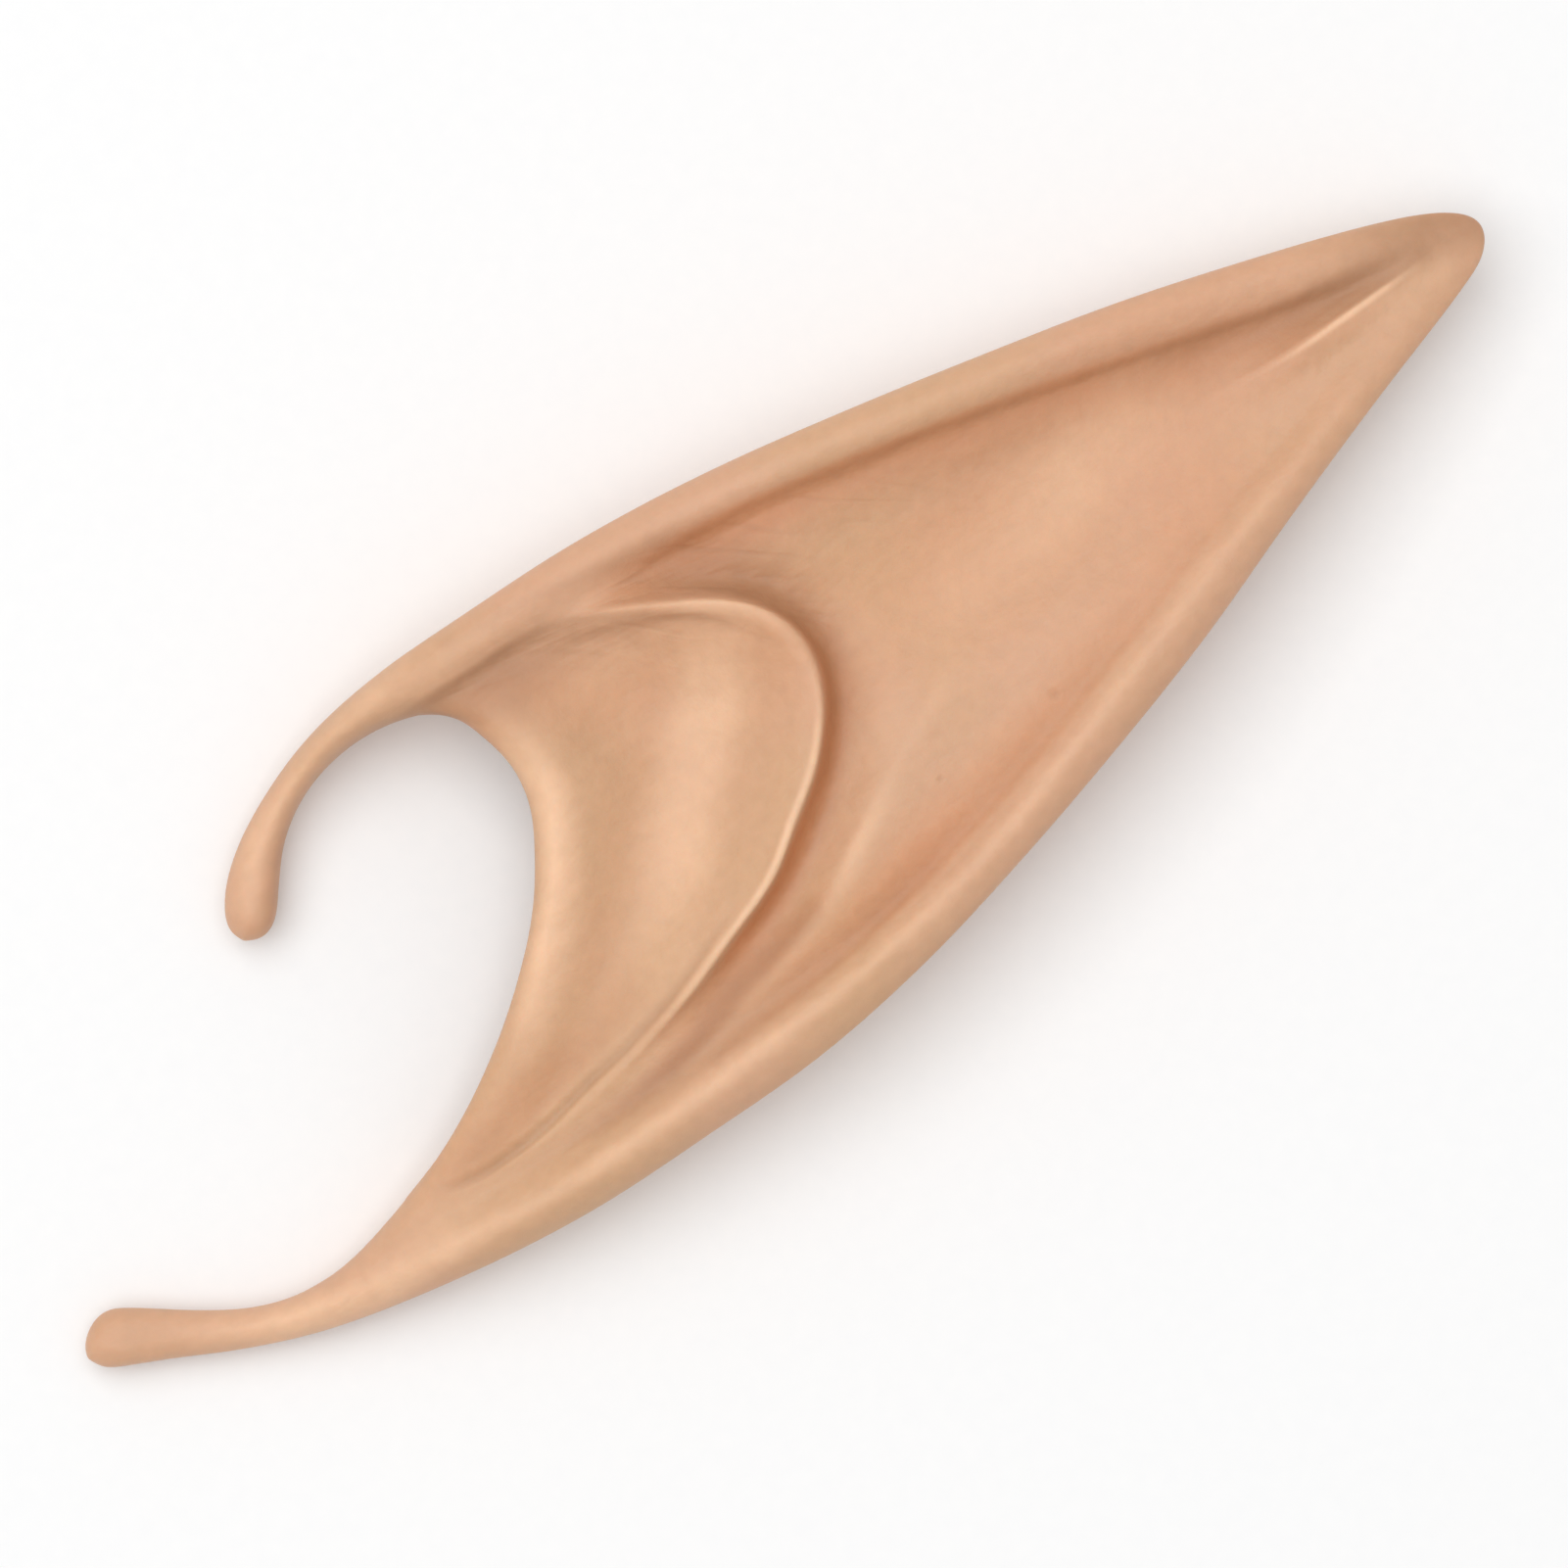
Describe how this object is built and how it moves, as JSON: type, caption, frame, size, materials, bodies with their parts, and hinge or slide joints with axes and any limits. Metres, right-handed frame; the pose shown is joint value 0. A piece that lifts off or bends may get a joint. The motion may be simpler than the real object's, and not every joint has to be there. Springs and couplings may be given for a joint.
{
  "type": "elf ear tip",
  "caption": "Soft rubber elf ear tip: a long, pointed, hollow shell with a raised rim and an inner lip, an open pocket for the wearer's ear, a hook above it and a tail below.",
  "frame": {"origin": "centre of the bounding box's base, on the surface that the ear lies on", "axes": "+X from the tail to the tip, +Y towards the upper rim and the hook, +Z out of the front of the ear"},
  "size_m": [0.1288, 0.0412, 0.014],
  "materials": {
    "latex_skin": "satin"
  },
  "bodies": {
    "root": {"ear_shell": "latex_skin"}
  },
  "joints": []
}
